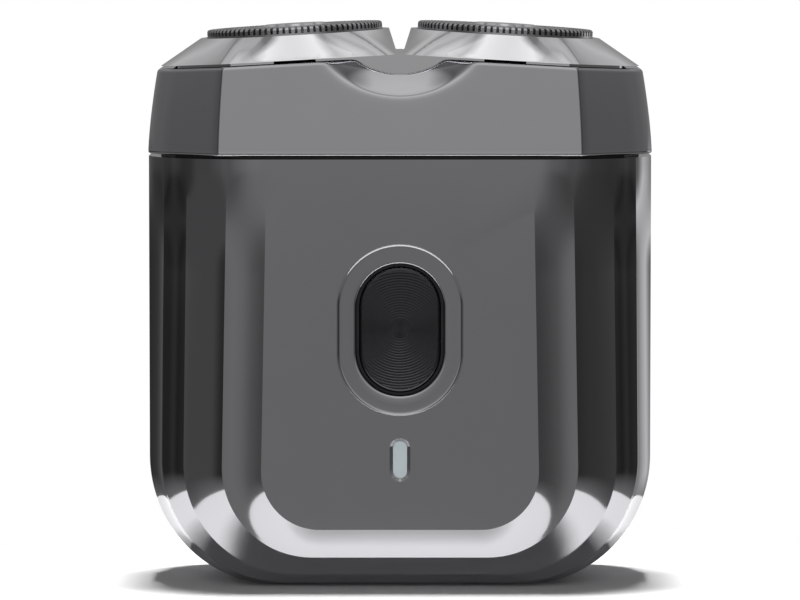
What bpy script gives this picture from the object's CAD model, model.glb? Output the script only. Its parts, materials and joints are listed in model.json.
import json
import math

import bmesh
import bpy
from mathutils import Matrix, Vector

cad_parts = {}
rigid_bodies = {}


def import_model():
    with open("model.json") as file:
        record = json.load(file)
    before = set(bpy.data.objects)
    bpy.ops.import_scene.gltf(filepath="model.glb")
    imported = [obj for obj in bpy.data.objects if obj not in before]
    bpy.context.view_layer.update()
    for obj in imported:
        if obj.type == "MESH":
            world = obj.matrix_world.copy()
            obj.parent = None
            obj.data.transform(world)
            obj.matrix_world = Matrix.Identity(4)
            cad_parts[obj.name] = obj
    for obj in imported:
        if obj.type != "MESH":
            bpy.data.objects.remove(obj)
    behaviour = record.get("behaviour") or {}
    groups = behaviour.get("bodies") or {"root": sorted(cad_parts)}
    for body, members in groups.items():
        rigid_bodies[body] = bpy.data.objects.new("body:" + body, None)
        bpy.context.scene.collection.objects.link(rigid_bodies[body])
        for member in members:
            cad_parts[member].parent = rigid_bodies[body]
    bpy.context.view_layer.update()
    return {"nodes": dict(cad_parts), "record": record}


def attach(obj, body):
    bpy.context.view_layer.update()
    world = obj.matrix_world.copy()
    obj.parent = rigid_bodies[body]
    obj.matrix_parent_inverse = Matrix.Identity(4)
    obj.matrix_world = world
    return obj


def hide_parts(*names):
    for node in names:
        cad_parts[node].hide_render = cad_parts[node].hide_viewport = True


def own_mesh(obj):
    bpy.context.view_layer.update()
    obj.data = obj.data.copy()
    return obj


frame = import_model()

MM = 0.001
BUTTON_Z, WINDOW_Z = 32.9, 16.5     # heights of the button's and the window's middles, in millimetres
NODES = frame["nodes"]


# ---------------------------------------------------------------- materials

def srgb(code):
    """A hex colour as four linear numbers."""
    def channel(pair):
        c = int(pair, 16) / 255
        return c / 12.92 if c <= 0.04045 else ((c + 0.055) / 1.055) ** 2.4
    return (channel(code[1:3]), channel(code[3:5]), channel(code[5:7]), 1.0)


def add(tree, kind, settings=None, **links):
    """Adds a node. settings are its properties or socket values; links go to its named inputs."""
    node = tree.nodes.new(kind)
    for name, value in (settings or {}).items():
        if isinstance(name, int) or name in node.inputs:
            node.inputs[name].default_value = value
        else:
            setattr(node, name, value)
    for name, source in links.items():
        key = name.replace("_", " ") if name.replace("_", " ") in node.inputs else name
        target = node.inputs[int(key[1:])] if key[0] == "i" and key[1:].isdigit() else node.inputs[key]
        tree.links.new(source, target)
    return node


def material(name, colour, metallic, roughness, ior=None,
             mottle_mm=1.5, mottle=0.04, rough_spread=0.04, bump_mm=0.0, grain_mm=0.15):
    """A surface with slight mottling of colour and roughness, and an optional fine grain in relief."""
    made = bpy.data.materials.new(name)
    made.use_nodes = True
    tree = made.node_tree
    shader = tree.nodes["Principled BSDF"]
    shader.inputs["Metallic"].default_value = metallic
    if ior:
        shader.inputs["IOR"].default_value = ior
    place = add(tree, "ShaderNodeTexCoord")
    cloud = add(tree, "ShaderNodeTexNoise", {"Scale": 1 / (mottle_mm * MM), "Detail": 3.0},
                Vector=place.outputs["Object"])
    base = srgb(colour)
    dark = tuple(c * (1 - mottle) for c in base[:3]) + (1,)
    light = tuple(min(c * (1 + mottle), 1) for c in base[:3]) + (1,)
    tint = add(tree, "ShaderNodeMix", {"data_type": "RGBA"})
    tree.links.new(cloud.outputs["Fac"], tint.inputs[0])
    tint.inputs[6].default_value = dark
    tint.inputs[7].default_value = light
    tree.links.new(tint.outputs[2], shader.inputs["Base Color"])
    rough = add(tree, "ShaderNodeMapRange", {"To Min": max(roughness - rough_spread, 0.01),
                                             "To Max": roughness + rough_spread},
                Value=cloud.outputs["Fac"])
    tree.links.new(rough.outputs[0], shader.inputs["Roughness"])
    if bump_mm:
        grain = add(tree, "ShaderNodeTexNoise", {"Scale": 1 / (grain_mm * MM), "Detail": 2.0},
                    Vector=place.outputs["Object"])
        relief = add(tree, "ShaderNodeBump", {"Strength": 0.5, "Distance": bump_mm * MM},
                     Height=grain.outputs["Fac"])
        tree.links.new(relief.outputs["Normal"], shader.inputs["Normal"])
    return made


def turned_sheen(made, centre_mm):
    """Lathe marks about a centre on the Y axis: the sheen fans out across them."""
    tree = made.node_tree
    shader = tree.nodes["Principled BSDF"]
    shader.inputs["Anisotropic"].default_value = 0.8
    place = add(tree, "ShaderNodeTexCoord")
    off = add(tree, "ShaderNodeVectorMath", {"operation": "SUBTRACT", 1: tuple(c * MM for c in centre_mm)},
              i0=place.outputs["Object"])
    along = add(tree, "ShaderNodeVectorMath", {"operation": "CROSS_PRODUCT", 1: (0, 1, 0)}, i0=off.outputs[0])
    unit = add(tree, "ShaderNodeVectorMath", {"operation": "NORMALIZE"}, i0=along.outputs[0])
    tree.links.new(unit.outputs[0], shader.inputs["Tangent"])


# Dark gunmetal plating over polished die-cast metal: a smoked mirror, faintly cloudy.
GUNMETAL = material("gunmetal_plating", "#B4B4B7", 1.0, 0.075, rough_spread=0.015, mottle=0.015, mottle_mm=6)
# Bright chrome plating over a smooth moulding: a clean mirror.
CHROME = material("bright_chrome_plating", "#EDEDEF", 1.0, 0.05, rough_spread=0.02, mottle=0.01, mottle_mm=5)
# Black anodised aluminium, face turned on a lathe: deep black with a metal sheen.
BLACK_ANODISED = material("black_anodised_aluminium", "#454547", 1.0, 0.20, rough_spread=0.03, mottle=0.05,
                          mottle_mm=0.8)
turned_sheen(BLACK_ANODISED, (0, 0, BUTTON_Z))
# Stainless sheet, etched and ground: a satin grey with a very fine tooth.
STAINLESS = material("ground_stainless_sheet", "#C9C9CB", 1.0, 0.24, mottle=0.05, mottle_mm=0.6,
                     bump_mm=0.002, grain_mm=0.12)
# Zinc-plated steel, pressed and turned: greyer, with a soft bloom.
ZINC_STEEL = material("zinc_plated_steel", "#A9ABAE", 1.0, 0.32, mottle=0.07, mottle_mm=1.2, bump_mm=0.002)
# Drawn spring wire, left bare: a soft, even shine.
SPRING_WIRE = material("bright_spring_wire", "#BDBEC2", 1.0, 0.22, mottle=0.05, mottle_mm=0.5)
# Nickel plating over a sintered magnet: warm and nearly mirror-bright.
NICKEL = material("nickel_plated_magnet", "#C4C0B8", 1.0, 0.16, mottle=0.04, mottle_mm=1.0)
# Sintered ferrite, ground: charcoal, dull and slightly speckled.
FERRITE = material("sintered_ferrite", "#33343A", 0.2, 0.6, mottle=0.12, mottle_mm=0.4, bump_mm=0.01)
# Turned brass: yellow, with a blurred shine.
BRASS = material("machined_brass", "#D2B26A", 1.0, 0.25, mottle=0.05, mottle_mm=0.6)
# Rolled copper strip: pinkish, slightly clouded by handling.
COPPER = material("rolled_copper", "#C98A6A", 1.0, 0.3, mottle=0.06, mottle_mm=0.6)
# ABS, moulded in a spark-eroded tool: a fine dull grain.
BLACK_ABS = material("black_moulded_abs", "#1C1C1E", 0.0, 0.42, ior=1.53, mottle=0.08, bump_mm=0.01,
                     grain_mm=0.12)
# The same moulding in grey: the grain shows as a pale haze.
GREY_ABS = material("grey_moulded_abs", "#74777B", 0.0, 0.45, ior=1.53, mottle=0.05, bump_mm=0.01,
                    grain_mm=0.12)
# Acetal, moulded in its natural colour: waxy ivory.
ACETAL = material("natural_acetal", "#E9E6DC", 0.0, 0.34, ior=1.48, mottle=0.03, bump_mm=0.004)
# Moulded silicone rubber: matt black.
RUBBER = material("black_silicone_rubber", "#1B1B1C", 0.0, 0.62, ior=1.42, mottle=0.08, bump_mm=0.01)
# Closed-cell foam, cut from sheet: dark, dry and pitted.
FOAM = material("closed_cell_foam", "#3A3A3C", 0.0, 0.9, ior=1.4, mottle=0.2, mottle_mm=0.5, bump_mm=0.05)
# Shrink sleeve drawn over the cell: blue, glossy and faintly rippled.
SLEEVE = material("blue_shrink_sleeve", "#2F6FB5", 0.0, 0.25, ior=1.54, mottle=0.04, bump_mm=0.01, grain_mm=1.5)
# Solder mask over glass laminate: green with a varnish gloss.
BOARD = material("green_solder_mask", "#1F6B43", 0.0, 0.3, ior=1.55, mottle=0.10, mottle_mm=1.2, bump_mm=0.01)
# Extruded vinyl insulation: red with a soft sheen.
RED_VINYL = material("red_vinyl_insulation", "#B0281F", 0.0, 0.4, ior=1.53, mottle=0.05, bump_mm=0.006)
# Acrylic light guide with a frosted face: pale, with a diffuse shine.
FROSTED = material("frosted_acrylic", "#C3CED2", 0.0, 0.35, ior=1.49, mottle=0.02, mottle_mm=0.8)

LOOKS = {
    "gunmetal": GUNMETAL, "chrome": CHROME, "black_metal": BLACK_ANODISED, "lens": FROSTED,
    "foil_steel": STAINLESS, "blade_steel": STAINLESS, "steel": ZINC_STEEL, "spring_steel": SPRING_WIRE,
    "black_plastic": BLACK_ABS, "grey_plastic": GREY_ABS, "white_plastic": ACETAL, "rubber": RUBBER,
    "magnet": NICKEL, "ferrite": FERRITE, "brass": BRASS, "copper": COPPER, "cell": SLEEVE,
    "circuit": BOARD, "foam": FOAM, "red_lead": RED_VINYL,
}
SLOT_OF = {row["node"]: row["material_slot"] for row in frame["record"]["subparts"]}
for name, node in NODES.items():
    node.data.materials.clear()
    node.data.materials.append(LOOKS[SLOT_OF[name]])


# ---------------------------------------------------------------- mesh helpers

def piece(name, bm, slot, body, replaces=(), crease=30.0):
    """Turns a bmesh in millimetres into a finished piece of the object."""
    bmesh.ops.remove_doubles(bm, verts=bm.verts, dist=1e-5)
    bmesh.ops.recalc_face_normals(bm, faces=bm.faces)
    limit = math.radians(crease)
    for face in bm.faces:
        face.smooth = True
    for edge in bm.edges:
        if len(edge.link_faces) == 2 and edge.calc_face_angle(0) > limit:
            edge.smooth = False
    bmesh.ops.scale(bm, vec=(MM, MM, MM), verts=bm.verts)
    mesh = bpy.data.meshes.new(name)
    bm.to_mesh(mesh)
    bm.free()
    made = bpy.data.objects.new(name, mesh)
    bpy.context.scene.collection.objects.link(made)
    mesh.materials.append(LOOKS[slot])
    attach(made, body)
    if replaces:
        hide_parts(*replaces)
    return made


def add_grid(bm, rows, wrap=False):
    """Quads through rows of vertices; wrap also joins each row's end to its start."""
    for row, other in zip(rows, rows[1:]):
        count = len(row)
        for j in range(count if wrap else count - 1):
            corners = [row[j], row[(j + 1) % count], other[(j + 1) % count], other[j]]
            if len({v.co.to_tuple(6) for v in corners}) >= 3 and len(set(corners)) == 4:
                bm.faces.new(corners)


def ring_edges(bm, ring):
    """Edges round a closed ring of vertices."""
    edges = []
    for one, other in zip(ring, ring[1:] + ring[:1]):
        edge = bm.edges.get((one, other)) or bm.edges.new((one, other))
        edges.append(edge)
    return edges


def fill_flat(bm, outline, *holes):
    """Fills a flat outline, leaving the holes open."""
    edges = ring_edges(bm, outline)
    for hole in holes:
        edges += ring_edges(bm, hole)
    bmesh.ops.triangle_fill(bm, use_beauty=True, use_dissolve=False, edges=edges)


def stadium(width, height, steps=24):
    """Points round a slot with round ends, about its middle, anticlockwise from the right."""
    r = min(width, height) / 2
    run_x, run_z = width / 2 - r, height / 2 - r
    points = []
    for k in range(4 * steps):
        turn = 2 * math.pi * (k + 0.5) / (4 * steps)
        cx = run_x if math.cos(turn) > 0 else -run_x
        cz = run_z if math.sin(turn) > 0 else -run_z
        points.append((cx + r * math.cos(turn), cz + r * math.sin(turn)))
    return points


# ---------------------------------------------------------------- fluted casing

# Millimetres. The ridges run from the flat panel's edge round to the end of the body.
BODY_HALF, DEPTH_HALF, RIM = 32.0, 15.0, 54.35
WALL, FLOOR = 1.5, 2.0
PANEL_HALF, PANEL_FOOT, PANEL_TAPER = 17.5, 7.64, 0.8
SIDE_EDGE, BASE_EDGE = 4.0, 8.5
INNER_CORNER, OUTER_CORNER = 7.3, 16.0
ABOVE_RIM = 2.0
FLUTE_RISE, HOLLOW_UP_TO, ROUNDING_RUN = 0.045, 40.0, 13.0
POCKET, WINDOW, WINDOW_FLARE, PORT = (15.9, 21.7), (1.8, 4.7), (2.6, 5.5), (12.2, 6.4)
FLARE_DEPTH, SCREW_ACROSS, SCREW_SEAT = 0.4, 9.6, 0.95
SIDE_TURNS = [math.radians(a) for a in (0, 20, 43, 61, 90)]
BASE_TURNS = [math.radians(a) for a in (0, 28, 51, 70, 90)]
DOWN_STEPS, CORNER_STEPS, BASE_STEPS, FLUTE_STEPS = 70, 30, 14, 12


def ridge_point(side, base, path, inset, floor):
    """A point of one front-left ridge; path is 0 at the rim, 1 and 2 at the corner's ends, 3 at the middle."""
    half_width, half_depth = BODY_HALF - inset, DEPTH_HALF - inset
    across = PANEL_HALF + (half_width - PANEL_HALF) * math.sin(side)
    side_depth = half_depth - (half_depth - SIDE_EDGE) * (1 - math.cos(side))
    base_depth = half_depth - (half_depth - BASE_EDGE) * (1 - math.cos(base))
    low = PANEL_FOOT - (PANEL_FOOT - floor) * math.sin(base)
    radius = INNER_CORNER + (OUTER_CORNER - inset - INNER_CORNER) * math.sin(base)
    top = RIM + ABOVE_RIM
    turn = math.radians(90) * min(max(path - 1, 0), 1)
    deep = side_depth + (base_depth - side_depth) * math.sin(turn) ** 2
    if path <= 1:
        begin = ABOVE_RIM / (top - low - radius)
        along = begin + (1 - begin) * path
        return Vector((-(across - PANEL_TAPER * math.cos(side) * (1 - along)), -deep,
                       top + (low + radius - top) * along))
    if path <= 2:
        return Vector((-(across - radius * (1 - math.cos(turn))), -deep,
                       low + radius * (1 - math.sin(turn))))
    return Vector((-(across - radius) * (3 - path), -deep, low))


def stations():
    """Values of path from one end of the rim, under the base, to the other; past 3 it is the mirror side."""
    left = [i / DOWN_STEPS for i in range(DOWN_STEPS)]
    left += [1 + i / CORNER_STEPS for i in range(CORNER_STEPS)]
    left += [2 + i / BASE_STEPS for i in range(BASE_STEPS)]
    return left + [3.0] + [6 - v for v in reversed(left)]


def flute_bulge(height, chord):
    """Middle of a flute against its chord: hollow low down, a soft round at the rim."""
    share = min(max((height - HOLLOW_UP_TO) / ROUNDING_RUN, 0), 1)
    share = share * share * (3 - 2 * share)
    return -FLUTE_RISE * chord * (1 - 2 * share)


def skin_rows(inset, floor, fluted):
    """Rows of points round the casing at each station, from the front panel's edge to the back panel's."""
    rows = []
    line = stations()
    ridges = [[ridge_point(a, b, min(v, 6 - v), inset, floor) for v in line]
              for a, b in zip(SIDE_TURNS, BASE_TURNS)]
    for ridge in ridges:
        for v, point in zip(line, ridge):
            if v > 3:
                point.x = -point.x
    middle_height = RIM / 2
    for i in range(len(line)):
        front = []
        for one, other in zip(ridges, ridges[1:]):
            a, b = one[i], other[i]
            middle = (a + b) / 2
            last = len(line) - 1
            along = (one[min(i + 1, last)] + other[min(i + 1, last)]
                     - one[max(i - 1, 0)] - other[max(i - 1, 0)])
            normal = (b - a).cross(along).normalized()
            if normal.dot(Vector((middle.x, middle.y, middle.z - middle_height))) < 0:
                normal = -normal
            rise = flute_bulge(middle.z, (b - a).length) if fluted else 0.0
            control = middle + normal * 2 * rise
            if i in (0, last):
                control.z = middle.z
            for step in range(FLUTE_STEPS):
                t = step / FLUTE_STEPS
                front.append(a * (1 - t) ** 2 + control * 2 * t * (1 - t) + b * t * t)
        front.append(ridges[-1][i])
        back = [Vector((p.x, -p.y, p.z)) for p in reversed(front)]
        band = [front[-1].lerp(back[0], k / 8) for k in range(1, 8)]
        rows.append(front + band + back)
    return rows


def skin_faces(bm, rows, front_holes, base_holes):
    """Outer or inner skin: fluted sides, flat panels, and a flat base with its own holes."""
    grid = [[bm.verts.new(p) for p in row] for row in rows]
    count = len(rows)
    first = DOWN_STEPS + CORNER_STEPS
    last = count - 1 - first
    edge = (len(SIDE_TURNS) - 1) * FLUTE_STEPS
    width = len(rows[0])
    for i in range(count - 1):
        for j in range(width - 1):
            flat = first <= i < last and edge <= j < width - 1 - edge
            if not flat:
                bm.faces.new([grid[i][j], grid[i][j + 1], grid[i + 1][j + 1], grid[i + 1][j]])
    ends = list(range(edge, width - edge))
    base = [grid[i][edge] for i in range(first, last + 1)]
    base += [grid[last][j] for j in ends[1:]]
    base += [grid[i][width - 1 - edge] for i in range(last - 1, first - 1, -1)]
    base += [grid[first][j] for j in reversed(ends[1:-1])]
    fill_flat(bm, base, *base_holes)
    fill_flat(bm, [row[0] for row in grid], *front_holes)
    fill_flat(bm, [row[-1] for row in grid])
    return grid


def upright_ring(bm, outline, y, z):
    """Vertices round an outline that stands across the Y axis."""
    return [bm.verts.new((x, y, z + h)) for x, h in outline]


def level_ring(bm, outline, z, x=0.0):
    """Vertices round an outline that lies level."""
    return [bm.verts.new((x + u, v, z)) for u, v in outline]


def make_casing():
    """Plated casing with crisp ridges, its openings and the wall behind them."""
    bm = bmesh.new()
    outer_y, inner_y = -DEPTH_HALF, -(DEPTH_HALF - WALL)
    pocket, window, flare = stadium(*POCKET), stadium(*WINDOW, 20), stadium(*WINDOW_FLARE, 20)
    rings = {
        "pocket": [upright_ring(bm, pocket, y, BUTTON_Z) for y in (outer_y, inner_y)],
        "window": [upright_ring(bm, flare, outer_y, WINDOW_Z),
                   upright_ring(bm, window, outer_y + FLARE_DEPTH, WINDOW_Z),
                   upright_ring(bm, window, inner_y, WINDOW_Z)],
        "port": [level_ring(bm, stadium(*PORT, 12), z) for z in (0, FLOOR)],
    }
    screw_wide, screw_narrow = stadium(3.8, 3.8, 8), stadium(1.9, 1.9, 8)
    for side in (-1, 1):
        across = SCREW_ACROSS * side
        rings[f"screw{side}"] = [level_ring(bm, screw_wide, 0, across),
                                 level_ring(bm, screw_narrow, SCREW_SEAT, across),
                                 level_ring(bm, screw_narrow, FLOOR, across)]
    for ring in rings.values():
        add_grid(bm, ring, wrap=True)
    fronts, bases = ("pocket", "window"), ("port", "screw-1", "screw1")
    outer = skin_faces(bm, skin_rows(0, 0.0, True), [rings[k][0] for k in fronts],
                       [rings[k][0] for k in bases])
    inner = skin_faces(bm, skin_rows(WALL, FLOOR, False), [rings[k][-1] for k in fronts],
                       [rings[k][-1] for k in bases])
    for end in (0, -1):
        add_grid(bm, [outer[end], inner[end]])
    for edge in (0, -1):
        bm.faces.new([outer[0][edge], outer[-1][edge], inner[-1][edge], inner[0][edge]])
    ridge_lines = {k * FLUTE_STEPS for k in range(len(SIDE_TURNS))}
    ridge_lines |= {len(outer[0]) - 1 - k for k in ridge_lines}
    creases = [(outer[i][j], outer[i + 1][j]) for i in range(len(outer) - 1) for j in ridge_lines]
    marked = [bm.edges.get(pair) for pair in creases]
    bmesh.ops.recalc_face_normals(bm, faces=bm.faces)
    for edge in bm.edges:
        if len(edge.link_faces) == 2 and edge.calc_face_angle(0) > math.radians(30):
            edge.smooth = False
    for edge in marked:
        if edge and len(edge.link_faces) == 2 and edge.calc_face_angle(0) > math.radians(4):
            edge.smooth = False
    piece("fluted_casing", bm, "gunmetal", "body", ["casing"], crease=60)


# ---------------------------------------------------------------- faceted collar

SEAM, COLLAR_TALL, APEX = 54.75, 12.9, 67.2
LEAN = math.tan(math.radians(3.2))
COLLAR_WALL, COLLAR_FLANGE, LIP_THICK, FOOT_ROLL, RIM_ROLL = 2.0, 1.5, 0.45, 0.3, 0.45
LEVELS, RISE_STEPS = 24, 60
# The scoop is cut only in the front wall, and fades out towards its sides.
SCOOP_FRONT, SCOOP_REACH, SCOOP_FADE, LIP_SOFT = -12, 16, 3, 0.12
BOSS_ACROSS, BOSS_DEEP, BOSS_RADIUS, BOSS_BORE = 25.0, 7.5, 2.4, 0.9


def rounded_loop(corners, radii, arc_steps, line_steps):
    """Points round a loop of corners with tangent arcs, always the same number on each stretch."""
    count = len(corners)
    loop = []
    arcs = []
    for i in range(count):
        before, here, after = (Vector(corners[(i + k) % count]) for k in (-1, 0, 1))
        to_before, to_after = (before - here).normalized(), (after - here).normalized()
        half = to_before.angle(to_after) / 2
        reach = radii[i] / math.tan(half)
        centre = here + (to_before + to_after).normalized() * (radii[i] / math.sin(half))
        start, end = here + to_before * reach - centre, here + to_after * reach - centre
        swing = start.angle_signed(end)
        points = []
        for k in range(arc_steps[i] + 1):
            turn = -swing * k / arc_steps[i]
            c, s = math.cos(turn), math.sin(turn)
            points.append(centre + Vector((start.x * c - start.y * s, start.x * s + start.y * c)))
        arcs.append(points)
    for i in range(count):
        loop += arcs[i]
        one, other = arcs[i][-1], arcs[(i + 1) % count][0]
        loop += [one.lerp(other, k / line_steps[i]) for k in range(1, line_steps[i])]
    return loop


def collar_loop(height, inset=0.0):
    """Outline of the collar at a height."""
    even = max((height - SEAM) / COLLAR_TALL, 0)
    share = even ** 1.5
    wide, deep = 32.0 - 1.6 * share, 15.0 - 1.3 * even
    crease, facet = 22.8 - 0.7 * share, 8.0 - 0.8 * even
    lean = math.atan2(deep - facet, wide - crease)
    crease -= inset * math.tan(lean / 2)
    facet -= inset * math.tan(math.pi / 4 - lean / 2)
    wide -= inset
    deep -= inset
    corners = [(-crease, -deep), (crease, -deep), (wide, -facet), (wide, facet),
               (crease, deep), (-crease, deep), (-wide, facet), (-wide, -facet)]
    ends = max(5.0 - inset, 1.0)
    folds = max(0.7 - inset / 4, 0.3)
    return rounded_loop(corners, [folds, folds, ends, ends] * 2, [4, 4, 14, 14] * 2,
                        [150, 8, 8, 8, 40, 8, 8, 8])


SCOOP = {"wide": 11.6, "tall": 10.0, "middle": APEX + 5.0, "deep": 3.2, "soft": 0.006}


def scoop_depth(x, z):
    """How deep the thumb scoop goes into the front face, fading softly to nothing at its outline."""
    share = 1 - (x / SCOOP["wide"]) ** 2 - ((z - SCOOP["middle"]) / SCOOP["tall"]) ** 2
    return SCOOP["deep"] * (share + math.sqrt(share * share + SCOOP["soft"])) / 2


def lip_height(x, depth):
    """Height at which the scoop has gone a given depth into the wall."""
    share = 1 - depth / SCOOP["deep"] - (x / SCOOP["wide"]) ** 2
    return SCOOP["middle"] - SCOOP["tall"] * math.sqrt(max(share, 0.0))


def make_collar():
    """Plated collar: soft rolled rim, crisp facets, and a thumb scoop that runs into the rim."""
    wall, flange = COLLAR_WALL, COLLAR_FLANGE
    levels = [SEAM + COLLAR_TALL * k / LEVELS for k in range(LEVELS + 1)]
    tables = {inset: [collar_loop(z, inset) for z in levels] for inset in (0.0, wall, 2 * wall)}

    def at(table, k, z):
        place = min(max((z - SEAM) / COLLAR_TALL * LEVELS, 0), LEVELS - 0.001)
        low = int(place)
        return tables[table][low][k].lerp(tables[table][low + 1][k], place - low)

    def outside(k, z):
        point = at(0.0, k, z)
        if point.y > SCOOP_FRONT or abs(point.x) > SCOOP_REACH:
            return point
        fade = min(max((SCOOP_REACH - abs(point.x)) / SCOOP_FADE, 0), 1)
        return Vector((point.x, point.y + scoop_depth(point.x, z) * fade))

    bm = bmesh.new()
    columns = []
    for k in range(len(tables[0.0][0])):
        top = APEX
        for _ in range(6):
            top = APEX - abs(at(0.0, k, top).x) * LEAN
        front = at(0.0, k, top)
        dipped = front.y < SCOOP_FRONT and abs(front.x) < SCOOP_REACH
        if dipped:
            low = lip_height(front.x, wall - LIP_THICK)
            top = (top + low - math.sqrt((top - low) ** 2 + LIP_SOFT)) / 2
        thick = at(wall, k, top).y - outside(k, top).y if dipped else wall
        roll = min(RIM_ROLL, thick * 0.42)
        column = []
        inward = (at(wall, k, SEAM) - at(0.0, k, SEAM)) / wall
        for step in range(5):
            turn = math.radians(90 * step / 4)
            p = at(0.0, k, SEAM) + inward * FOOT_ROLL * (1 - math.sin(turn))
            column.append((p.x, p.y, SEAM + FOOT_ROLL * (1 - math.cos(turn))))
        for step in range(1, RISE_STEPS + 1):
            z = SEAM + FOOT_ROLL + (top - roll - SEAM - FOOT_ROLL) * step / RISE_STEPS
            p = outside(k, z)
            column.append((p.x, p.y, z))
        for step in range(1, 6):
            turn = math.radians(90 * step / 5)
            z = top - roll + roll * math.sin(turn)
            p = outside(k, z)
            back = at(wall, k, z)
            inward = Vector((0, 1)) if dipped else (back - p).normalized()
            p = p + inward * roll * (1 - math.cos(turn))
            column.append((p.x, p.y, z))
        for z in (top, top - 0.3 * (top - SEAM - flange), SEAM + flange + 0.5 * (top - SEAM - flange),
                  SEAM + flange):
            p = at(wall, k, z)
            column.append((p.x, p.y, z))
        for z in (SEAM + flange, SEAM):
            p = at(2 * wall, k, SEAM)
            column.append((p.x, p.y, z))
        columns.append([bm.verts.new(c) for c in column])
    add_grid(bm, columns + columns[:1], wrap=True)
    piece("faceted_collar", bm, "gunmetal", "body", ["collar"], crease=50)

    bm = bmesh.new()
    outline = [(BOSS_RADIUS, SEAM), (BOSS_RADIUS, SEAM + flange),
               (BOSS_BORE, SEAM + flange), (BOSS_BORE, SEAM)]
    for x in (-BOSS_ACROSS, BOSS_ACROSS):
        for y in (-BOSS_DEEP, BOSS_DEEP):
            rings = []
            for r, z in outline + outline[:1]:
                rings.append([bm.verts.new((x + r * math.cos(a), y + r * math.sin(a), z))
                              for a in (2 * math.pi * k / 32 for k in range(32))])
            add_grid(bm, rings, wrap=True)
    piece("collar_screw_bosses", bm, "gunmetal", "body")


# ---------------------------------------------------------------- button and bezel

def make_bezel():
    """Dished bezel: a crisp rim flush with the panel, a shallow dish and a rounded edge into the well."""
    outer, well = stadium(15.86, 21.66, 28), stadium(11.0, 16.6, 28)
    flange = stadium(17.5, 23.3, 28)
    # Share of the way from the outer outline to the well, and the Y of the surface there.
    profile = [(0.0, -13.5), (0.0, -14.98), (0.012, -15.0), (0.03, -15.0), (0.045, -14.98), (0.07, -14.93),
               (0.10, -14.885), (0.13, -14.87), (0.18, -14.865), (0.5, -14.855), (0.84, -14.845),
               (0.90, -14.835), (0.93, -14.81), (0.96, -14.75), (0.985, -14.62), (1.0, -14.4), (1.0, -13.0)]
    bm = bmesh.new()
    rings = []
    for share, y in profile:
        rings.append([bm.verts.new((a[0] + (b[0] - a[0]) * share, y,
                                    BUTTON_Z + a[1] + (b[1] - a[1]) * share)) for a, b in zip(outer, well)])
    rings.append([bm.verts.new((x, -13.0, BUTTON_Z + h)) for x, h in flange])
    rings.append([bm.verts.new((x, -13.48, BUTTON_Z + h)) for x, h in flange])
    rings.append(rings[0])
    add_grid(bm, rings, wrap=True)
    piece("dished_bezel", bm, "gunmetal", "body", ["button_bezel"], crease=35)


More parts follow.
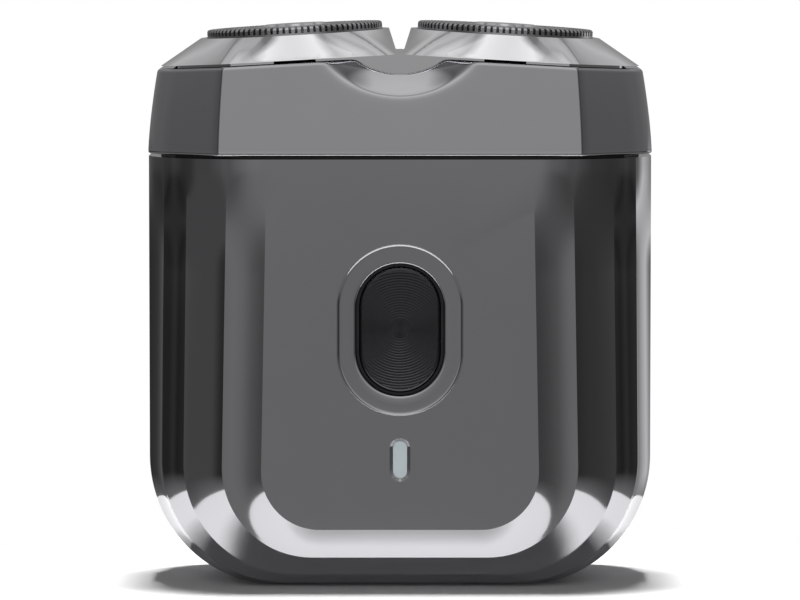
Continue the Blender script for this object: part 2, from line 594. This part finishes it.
def turned_spiral_tree():
    """Fine spiral ridge left by a lathe on a flat face, kept inside a slot-shaped edge."""
    tree = bpy.data.node_groups.new("turned_spiral", "GeometryNodeTree")
    sizes = {"Pitch": 0.34, "Start Radius": 1.2, "End Radius": 7.9, "Ridge Height": 0.06,
             "Half Width": 4.72, "Straight Half": 2.8}
    for name, millimetres in sizes.items():
        socket = tree.interface.new_socket(name, in_out="INPUT", socket_type="NodeSocketFloat")
        socket.default_value = millimetres * MM
    finish = tree.interface.new_socket("Finish", in_out="INPUT", socket_type="NodeSocketMaterial")
    tree.interface.new_socket("Geometry", in_out="OUTPUT", socket_type="NodeSocketGeometry")
    given = add(tree, "NodeGroupInput")
    get = given.outputs
    span = add(tree, "ShaderNodeMath", {"operation": "SUBTRACT"}, i0=get["End Radius"], i1=get["Start Radius"])
    turns = add(tree, "ShaderNodeMath", {"operation": "DIVIDE"}, i0=span.outputs[0], i1=get["Pitch"])
    spiral = add(tree, "GeometryNodeCurveSpiral", {"Resolution": 180, "Height": 0.0},
                 Rotations=turns.outputs[0], Start_Radius=get["Start Radius"], End_Radius=get["End Radius"])
    half = add(tree, "ShaderNodeMath", {"operation": "MULTIPLY", 1: 0.5}, i0=get["Pitch"])
    minus = add(tree, "ShaderNodeMath", {"operation": "MULTIPLY", 1: -0.5}, i0=get["Pitch"])
    start = add(tree, "ShaderNodeCombineXYZ", X=minus.outputs[0])
    outward = add(tree, "ShaderNodeMath", {"operation": "MULTIPLY", 1: -1.0}, i0=get["Ridge Height"])
    middle = add(tree, "ShaderNodeCombineXYZ", Y=outward.outputs[0])
    end = add(tree, "ShaderNodeCombineXYZ", X=half.outputs[0])
    ridge = add(tree, "GeometryNodeCurveQuadraticBezier", {"Resolution": 5}, Start=start.outputs[0],
                Middle=middle.outputs[0], End=end.outputs[0])
    level = add(tree, "GeometryNodeSetCurveNormal", {"mode": "Z_UP"}, Curve=spiral.outputs[0])
    swept = add(tree, "GeometryNodeCurveToMesh", Curve=level.outputs[0], Profile_Curve=ridge.outputs[0])
    place = add(tree, "GeometryNodeInputPosition")
    split = add(tree, "ShaderNodeSeparateXYZ", Vector=place.outputs[0])
    tall = add(tree, "ShaderNodeMath", {"operation": "ABSOLUTE"}, i0=split.outputs["Y"])
    over = add(tree, "ShaderNodeMath", {"operation": "SUBTRACT"}, i0=tall.outputs[0],
               i1=get["Straight Half"])
    above = add(tree, "ShaderNodeMath", {"operation": "MAXIMUM", 1: 0.0}, i0=over.outputs[0])
    corner = add(tree, "ShaderNodeCombineXYZ", X=split.outputs["X"], Y=above.outputs[0])
    reach = add(tree, "ShaderNodeVectorMath", {"operation": "LENGTH"}, i0=corner.outputs[0])
    outside = add(tree, "FunctionNodeCompare", {"operation": "GREATER_THAN"}, i0=reach.outputs["Value"],
                  i1=get["Half Width"])
    kept = add(tree, "GeometryNodeDeleteGeometry", Geometry=swept.outputs[0], Selection=outside.outputs[0])
    real = add(tree, "GeometryNodeRealizeInstances", Geometry=kept.outputs[0])
    dressed = add(tree, "GeometryNodeSetMaterial", Geometry=real.outputs[0], Material=get["Finish"])
    add(tree, "NodeGroupOutput", Geometry=dressed.outputs[0])
    return tree, finish.identifier


def make_button():
    """Button cap: flat face with a lathe-turned spiral, soft edge, and a flange behind it."""
    width, height, face_y = 10.3, 15.9, -14.55
    rim = stadium(width, height, 24)
    bm = bmesh.new()
    rings = []
    for drop, back in ((0.5, 0.0), (0.36, 0.02), (0.2, 0.09), (0.08, 0.22), (0.02, 0.34), (0.0, 0.45)):
        shape = stadium(width - 2 * drop, height - 2 * drop, 24)
        rings.append([bm.verts.new((x, face_y + back, BUTTON_Z + h)) for x, h in shape])
    bm.faces.new(rings[0])
    rings.append([bm.verts.new((x, -12.8, BUTTON_Z + h)) for x, h in rim])
    for y in (-12.8, -11.9):
        rings.append([bm.verts.new((x, y, BUTTON_Z + h)) for x, h in stadium(width + 2, height + 2, 24)])
    add_grid(bm, rings, wrap=True)
    bm.faces.new(rings[-1])
    piece("button_cap", bm, "black_metal", "button", ["power_button"], crease=40)

    tree, finish = turned_spiral_tree()
    holder = bpy.data.objects.new("spiral_holder", bpy.data.meshes.new("spiral_holder"))
    bpy.context.scene.collection.objects.link(holder)
    modifier = holder.modifiers.new("turning", "NODES")
    modifier.node_group = tree
    modifier[finish] = BLACK_ANODISED
    mesh = bpy.data.meshes.new_from_object(holder.evaluated_get(bpy.context.evaluated_depsgraph_get()))
    bpy.data.objects.remove(holder)
    bm = bmesh.new()
    bm.from_mesh(mesh)
    upright = Matrix.Translation((0, face_y - 0.002, BUTTON_Z)) @ Matrix.Rotation(math.radians(90), 4, "X")
    bmesh.ops.transform(bm, matrix=upright @ Matrix.Scale(1 / MM, 4), verts=bm.verts)
    bmesh.ops.recalc_face_normals(bm, faces=bm.faces)
    if sum(face.normal.y * face.calc_area() for face in bm.faces) > 0:
        bmesh.ops.reverse_faces(bm, faces=bm.faces)
    bmesh.ops.scale(bm, vec=(MM, MM, MM), verts=bm.verts)
    for face in bm.faces:
        face.smooth = True
    bm.to_mesh(mesh)
    bm.free()
    turning = bpy.data.objects.new("turned_face", mesh)
    bpy.context.scene.collection.objects.link(turning)
    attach(turning, "button")


def make_smooth_copy(node, name, body, crease=12.0):
    """A copy of a CAD node with its triangles joined and shaded smoothly between real edges."""
    bm = bmesh.new()
    bm.from_mesh(NODES[node].data)
    bmesh.ops.scale(bm, vec=(1 / MM, 1 / MM, 1 / MM), verts=bm.verts)
    return piece(name, bm, SLOT_OF[node], body, [node], crease=crease)


def make_springs():
    """Smooth copies of the coil springs that shorten as the foils and spindles are pressed."""
    joints = {row["name"]: row for row in frame["record"]["behaviour"]["joints"]}
    for side in ("left", "right"):
        for node, joint in ((f"foil_spring_{side}", f"foil_{side}_press"),
                            (f"spindle_spring_{side}", f"spindle_{side}_slide")):
            row = joints[joint]
            coil = make_smooth_copy(node, f"coil_{node}", row["parent"], crease=40)
            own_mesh(coil)


make_casing()
make_collar()
make_bezel()
make_button()
make_smooth_copy("head_frame", "pod_frame", "head")
make_springs()

# ---------------------------------------------------------------- studio

# Brightness of the surround at eye level, by bearing in degrees from straight ahead. Fitted by hand,
# so that each flute and facet of the casing reflects its own grey.
LEVEL_TONES = (
    (-180, 0.35), (-165, 0.15), (-140, 0.06), (-109, 0.035), (-96, 0.025), (-88, 0.05), (-80, 0.03),
    (-71, 0.03), (-66, 0.06), (-60, 0.105), (-36, 0.105), (-25, 0.157), (-15, 0.24), (-6, 0.27), (0, 0.26),
    (5, 0.24), (15, 0.15), (25, 0.105), (36, 0.08), (50, 0.065), (60, 0.06), (71, 0.045), (82, 0.03), (88, 0.05),
    (98, 0.025), (112, 0.04), (122, 0.2), (132, 0.9), (148, 0.45), (162, 0.15), (180, 0.35))
# Brightness of the surround above eye level, by the sine of its height, and how the sides fall off.
ABOVE_TONES = ((0.0, 0.45), (0.14, 0.48), (0.30, 0.55), (0.50, 0.75), (0.62, 0.95), (0.70, 0.80), (0.76, 0.42),
               (0.80, 0.85), (0.90, 1.0), (0.96, 0.6), (1.0, 0.8))
SIDE_SHARE = ((-180, 0.6), (-120, 0.45), (-95, 0.42), (-80, 0.42), (-68, 0.2), (-48, 0.2), (-38, 0.5), (-26, 1.0),
              (0, 1.0), (26, 1.0), (38, 0.5), (48, 0.2), (68, 0.2), (80, 0.42), (95, 0.42), (120, 0.5), (180, 0.6))


def studio():
    """Plain pale round floor, soft boxes, a plain surround, and the camera."""
    bm = bmesh.new()
    bmesh.ops.create_circle(bm, cap_ends=True, segments=128, radius=62 * MM)
    mesh = bpy.data.meshes.new("floor")
    bm.to_mesh(mesh)
    bm.free()
    floor = bpy.data.objects.new("floor", mesh)
    bpy.context.scene.collection.objects.link(floor)
    pale = material("pale_card", "#F4F4F4", 0.0, 0.8, mottle=0.01, mottle_mm=20)
    mesh.materials.append(pale)

    def soft_box(name, place, aim, size, power):
        lamp = bpy.data.lights.new(name, "AREA")
        lamp.shape = "RECTANGLE"
        lamp.size, lamp.size_y = size
        lamp.energy = power
        lit = bpy.data.objects.new(name, lamp)
        bpy.context.scene.collection.objects.link(lit)
        lit.location = Vector(place)
        lit.visible_glossy = lit.visible_camera = False
        lit.rotation_euler = (Vector(aim) - Vector(place)).to_track_quat("-Z", "Y").to_euler()
        return lit

    soft_box("overhead", (0, 0.065, 0.75), (0, 0.065, 0.0), (0.14, 0.08), 9.5)
    soft_box("front_fill", (0, -0.9, 0.03), (0, 0, 0.035), (0.3, 0.03), 2.2)

    world = bpy.data.worlds.new("surround")
    bpy.context.scene.world = world
    world.use_nodes = True
    tree = world.node_tree
    tree.nodes.clear()
    out = add(tree, "ShaderNodeOutputWorld")
    white = add(tree, "ShaderNodeBackground", {"Color": (1, 1, 1, 1), "Strength": 1.0})
    place = add(tree, "ShaderNodeTexCoord")
    split = add(tree, "ShaderNodeSeparateXYZ", Vector=place.outputs["Generated"])
    x, y, z = split.outputs["X"], split.outputs["Y"], split.outputs["Z"]

    def ramp(source, low, high, stops):
        share = add(tree, "ShaderNodeMapRange", {"From Min": low, "From Max": high}, Value=source)
        made = add(tree, "ShaderNodeValToRGB", Fac=share.outputs[0])
        stops = [((at - low) / (high - low), level) for at, level in stops]
        elements = made.color_ramp.elements
        elements.remove(elements[1])
        for i, (at, level) in enumerate(stops):
            stop = elements[0] if i == 0 else elements.new(at)
            stop.position = at
            stop.color = (level, level, level, 1)
        return made.outputs["Color"]

    def blend(share, one, other):
        made = add(tree, "ShaderNodeMix", {"data_type": "RGBA"})
        for source, socket in ((share, 0), (one, 6), (other, 7)):
            tree.links.new(source, made.inputs[socket])
        return made.outputs[2]

    forward = add(tree, "ShaderNodeMath", {"operation": "MULTIPLY", 1: -1.0}, i0=y)
    bearing = add(tree, "ShaderNodeMath", {"operation": "ARCTAN2"}, i0=x, i1=forward.outputs[0])
    degrees = add(tree, "ShaderNodeMath", {"operation": "DEGREES"}, i0=bearing.outputs[0])
    turn = degrees.outputs[0]
    level = ramp(turn, -180, 180, LEVEL_TONES)
    above = ramp(z, 0.0, 1.0, ABOVE_TONES)
    sides = ramp(turn, -180, 180, SIDE_SHARE)
    shaded = add(tree, "ShaderNodeMix", {"data_type": "RGBA", "blend_type": "MULTIPLY"})
    tree.links.new(ramp(z, 0.1, 1.0, ((0.1, 1.0), (0.9, 1.0), (1.0, 0.2))), shaded.inputs[0])
    tree.links.new(above, shaded.inputs[6])
    tree.links.new(sides, shaded.inputs[7])
    below = ramp(z, -1.0, 0.0, ((-1.0, 0.2), (0.0, 0.24)))
    shade = blend(ramp(z, -0.06, 0.03, ((-0.06, 0.0), (0.03, 1.0))), level, shaded.outputs[2])
    shade = blend(ramp(z, -0.30, -0.18, ((-0.30, 0.0), (-0.18, 1.0))), below, shade)
    rays = add(tree, "ShaderNodeLightPath")
    dim = add(tree, "ShaderNodeMapRange", {"To Min": 1.0, "To Max": 0.14}, Value=rays.outputs["Is Diffuse Ray"])
    room = add(tree, "ShaderNodeBackground", Color=shade, Strength=dim.outputs[0])
    mix = add(tree, "ShaderNodeMixShader")
    tree.links.new(rays.outputs["Is Camera Ray"], mix.inputs[0])
    tree.links.new(room.outputs[0], mix.inputs[1])
    tree.links.new(white.outputs[0], mix.inputs[2])
    tree.links.new(mix.outputs[0], out.inputs[0])

    eye = bpy.data.cameras.new("camera")
    eye.lens = 246
    eye.sensor_width = 36
    eye.clip_start = 0.01
    seen = bpy.data.objects.new("camera", eye)
    bpy.context.scene.collection.objects.link(seen)
    seen.location = (0, -0.700, 0.087)
    seen.rotation_euler = (Vector((0, 0, 0.0356)) - seen.location).to_track_quat("-Z", "Y").to_euler()
    bpy.context.scene.camera = seen
    bpy.context.scene.view_settings.view_transform = "Standard"


studio()
